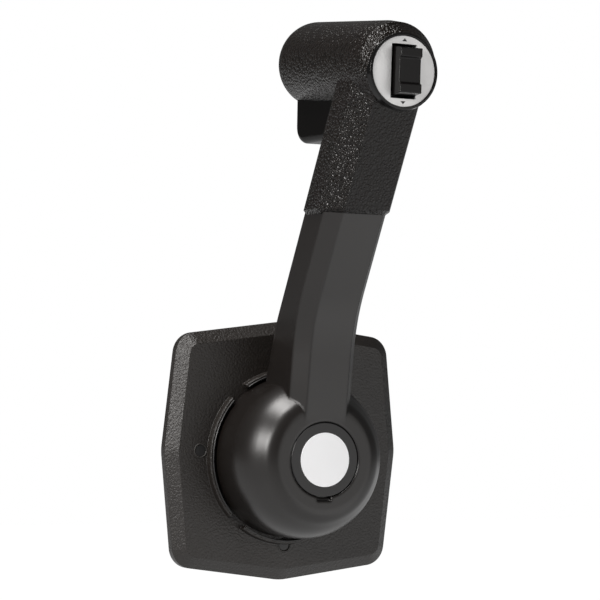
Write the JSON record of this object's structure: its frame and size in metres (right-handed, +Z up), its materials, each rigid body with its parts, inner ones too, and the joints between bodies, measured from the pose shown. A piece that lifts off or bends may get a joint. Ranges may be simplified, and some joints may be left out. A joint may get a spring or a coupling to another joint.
{
  "type": "boat throttle control lever",
  "caption": "Side mounted boat throttle and shift lever: bevelled wall plate, bell shaped hub with bent arm, cross bar grip with trim rocker, lock trigger and a gear train behind.",
  "frame": {"origin": "the point where the lever shaft's axis meets the wall plane", "axes": "+Z up along the upright lever, -Y out of the wall to the user, +Y into the wall, +X to the right as the user sees it"},
  "size_m": [0.1496, 0.1953, 0.3211],
  "materials": {
    "black_plastic": "fine grained moulded surface",
    "black_paint": "satin black paint",
    "black_vinyl": "pebbled soft moulding",
    "gloss_black": "smooth gloss",
    "grey_plastic": "smooth",
    "white_plastic": "smooth",
    "natural_plastic": "smooth bearing plastic",
    "satin_aluminium": "satin",
    "cast_aluminium": "as cast",
    "steel": "machined",
    "zinc_steel": "zinc plated",
    "spring_steel": "drawn wire",
    "brass": "machined"
  },
  "bodies": {
    "base": {"mounting_plate": "black_plastic", "hole_plugs": "black_plastic", "front_frame": "cast_aluminium", "rear_frame": "cast_aluminium", "frame_screws": "zinc_steel", "front_bush": "natural_plastic", "rear_bush": "natural_plastic", "sector_bushes": "natural_plastic", "lock_gate": "steel", "gate_screws": "zinc_steel", "detent_ball": "steel", "detent_plug": "zinc_steel", "detent_spring": "spring_steel", "neutral_switch": "grey_plastic"},
    "lever": {"lever_casting": "black_paint", "grip_cover": "black_vinyl", "switch_plate": "satin_aluminium", "switch_body": "grey_plastic", "rocker_pin": "steel", "rocker_springs": "spring_steel", "main_shaft": "steel", "drive_pinion": "steel", "detent_wheel": "steel", "lever_nut": "zinc_steel", "thrust_washer": "natural_plastic", "shaft_clip": "spring_steel"},
    "trigger": {"lock_trigger": "gloss_black", "lock_rod": "steel", "trigger_spring": "spring_steel"},
    "button": {"hub_cap": "black_plastic", "cap_disc": "white_plastic", "button_rod": "brass", "clutch_pin": "steel", "button_spring": "spring_steel"},
    "rocker": {"trim_rocker": "gloss_black"},
    "shift": {"shift_sector": "steel", "shift_shaft": "steel", "shift_arm": "zinc_steel", "shift_nut": "zinc_steel"},
    "throttle": {"throttle_sector": "steel", "throttle_shaft": "steel", "throttle_arm": "zinc_steel", "throttle_nut": "zinc_steel"}
  },
  "joints": [
    {"name": "lever_turn", "type": "hinge", "parent": "base", "child": "lever", "pos_m": [0, 0, 0], "axis": [0, 1, 0], "range_deg": [-80, 80]},
    {"name": "trigger_lift", "type": "slide", "parent": "lever", "child": "trigger", "axis": [0, -0.4772, 0.8788], "range_m": [0, 0.006], "stiffness_N_per_m": 600, "springref_m": -0.004, "deforming": ["trigger_spring"]},
    {"name": "button_press", "type": "slide", "parent": "lever", "child": "button", "axis": [0, 1, 0], "range_m": [0, 0.004], "stiffness_N_per_m": 800, "springref_m": -0.003, "deforming": ["button_spring"]},
    {"name": "rocker_tip", "type": "hinge", "parent": "lever", "child": "rocker", "pos_m": [0, -0.1382, 0.21221], "axis": [1, 0, 0], "range_deg": [-8, 8], "stiffness_Nm_per_rad": 0.2, "deforming": ["rocker_springs"]},
    {"name": "shift_turn", "type": "hinge", "parent": "base", "child": "shift", "pos_m": [-0.02227, 0, -0.02227], "axis": [0, 1, 0], "range_deg": [-40, 40]},
    {"name": "throttle_turn", "type": "hinge", "parent": "base", "child": "throttle", "pos_m": [0.01856, 0, 0.01856], "axis": [0, 1, 0], "range_deg": [-53.4, 53.4]}
  ],
  "couplings": [
    {"joint": "shift_turn", "follows": "lever_turn", "ratio": -0.5},
    {"joint": "throttle_turn", "follows": "lever_turn", "ratio": -0.66667}
  ]
}
